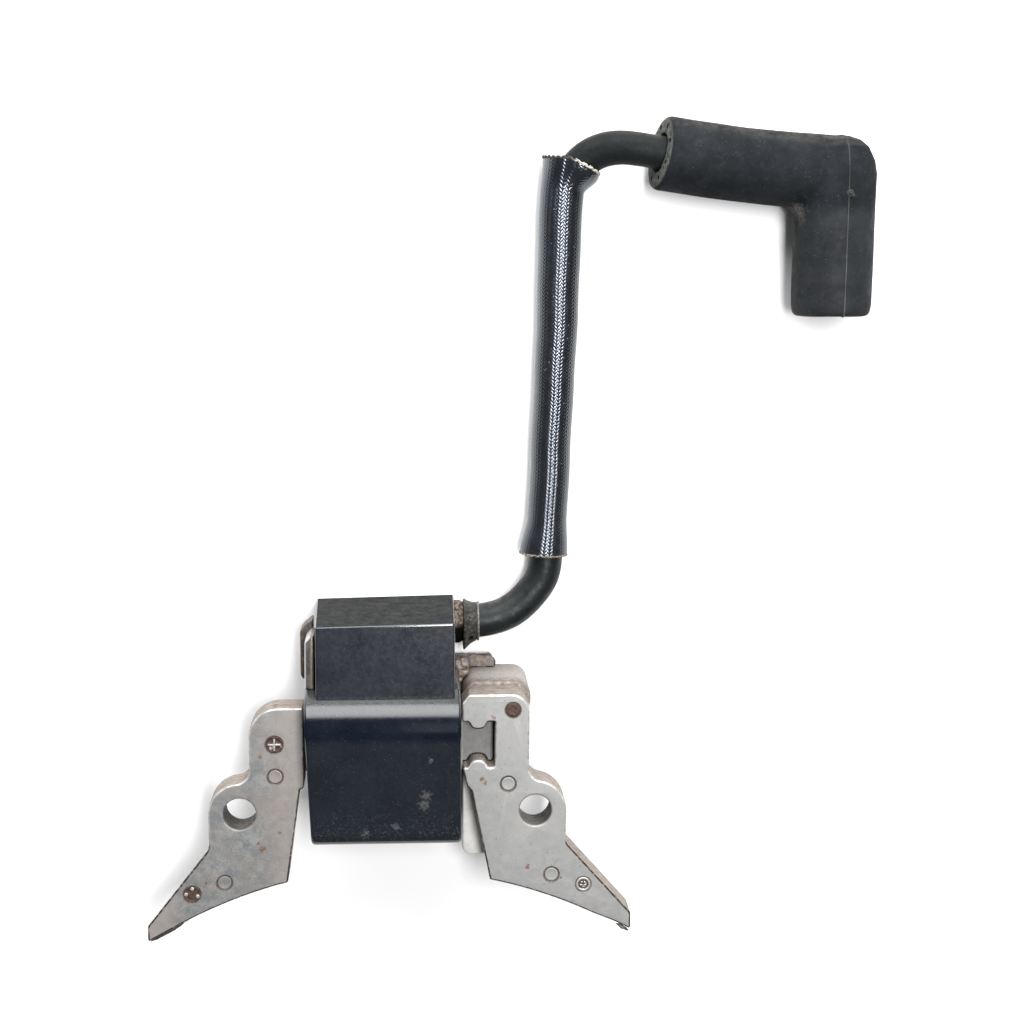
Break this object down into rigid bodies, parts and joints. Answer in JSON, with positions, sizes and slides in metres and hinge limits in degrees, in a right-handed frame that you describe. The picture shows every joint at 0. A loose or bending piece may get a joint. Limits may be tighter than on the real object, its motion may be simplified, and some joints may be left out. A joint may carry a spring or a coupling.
{
  "type": "ignition coil",
  "caption": "Flywheel ignition coil with a laminated two-legged core, potted coil case, igniter block, sleeved high-tension lead and right-angle plug cap.",
  "frame": {"origin": "midway between the two mounting holes, on the legs' rear seating face", "axes": "+X from the left leg to the right leg, +Y away from the flywheel towards the lead, +Z along the mounting screws out of the front of the coil; it lies on its back, on the back of the case and the igniter block"},
  "size_m": [0.1477, 0.1659, 0.031],
  "materials": {
    "case_plastic": "dusty satin",
    "potting_resin": "cast resin",
    "bobbin_plastic": "moulded",
    "copper_wire": "enamelled",
    "core_steel": "zinc plated, rust specks",
    "lamination_edges": "sheared, tarnished",
    "rivet_steel": "rusted",
    "tab_steel": "tarnished",
    "guard_plastic": "dirty",
    "brass": "satin",
    "seal_rubber": "dirty",
    "igniter_plastic": "dusty",
    "board_ceramic": "fired",
    "chip_plastic": "moulded",
    "bridge_resin": "dirty resin",
    "lead_jacket": "glossy",
    "braid": "varnished glass-fibre braid",
    "cap_rubber": "matt, dusty",
    "spring_steel": "bright"
  },
  "bodies": {
    "coil": {"coil_case": "case_plastic", "case_potting": "potting_resin", "primary_bobbin": "bobbin_plastic", "primary_winding": "copper_wire", "secondary_bobbin": "bobbin_plastic", "secondary_winding": "copper_wire", "bar_core": "core_steel", "left_leg_front_sheet": "core_steel", "left_leg_laminations": "lamination_edges", "left_leg_rear_sheet": "core_steel", "right_leg_front_sheet": "core_steel", "right_leg_laminations": "lamination_edges", "right_leg_rear_sheet": "core_steel", "left_leg_rivets": "rivet_steel", "right_leg_rivets": "rivet_steel", "terminal_guard": "guard_plastic", "kill_terminal": "tab_steel", "kill_lead": "copper_wire", "ht_terminal": "brass", "lead_boss": "seal_rubber", "lead_collar": "tab_steel", "igniter_housing": "igniter_plastic", "igniter_board": "board_ceramic", "igniter_transistor": "chip_plastic", "igniter_potting": "potting_resin", "wire_bridge": "bridge_resin", "primary_leads": "copper_wire", "ht_lead": "lead_jacket"},
    "sleeve": {"lead_sleeve": "braid"},
    "cap": {"plug_cap": "cap_rubber", "cap_contact_screw": "spring_steel", "plug_terminal": "brass", "plug_spring_clip": "spring_steel"}
  },
  "joints": [
    {"name": "cap_swivel", "type": "hinge", "parent": "coil", "child": "cap", "pos_m": [0.0906, 0.12853, -0.0063], "axis": [0.9957, -0.0924, 0], "range_deg": [-150, 150]},
    {"name": "sleeve_slide", "type": "slide", "parent": "coil", "child": "sleeve", "axis": [0.0514, 0.9987, 0], "range_m": [-0.003, 0]}
  ]
}
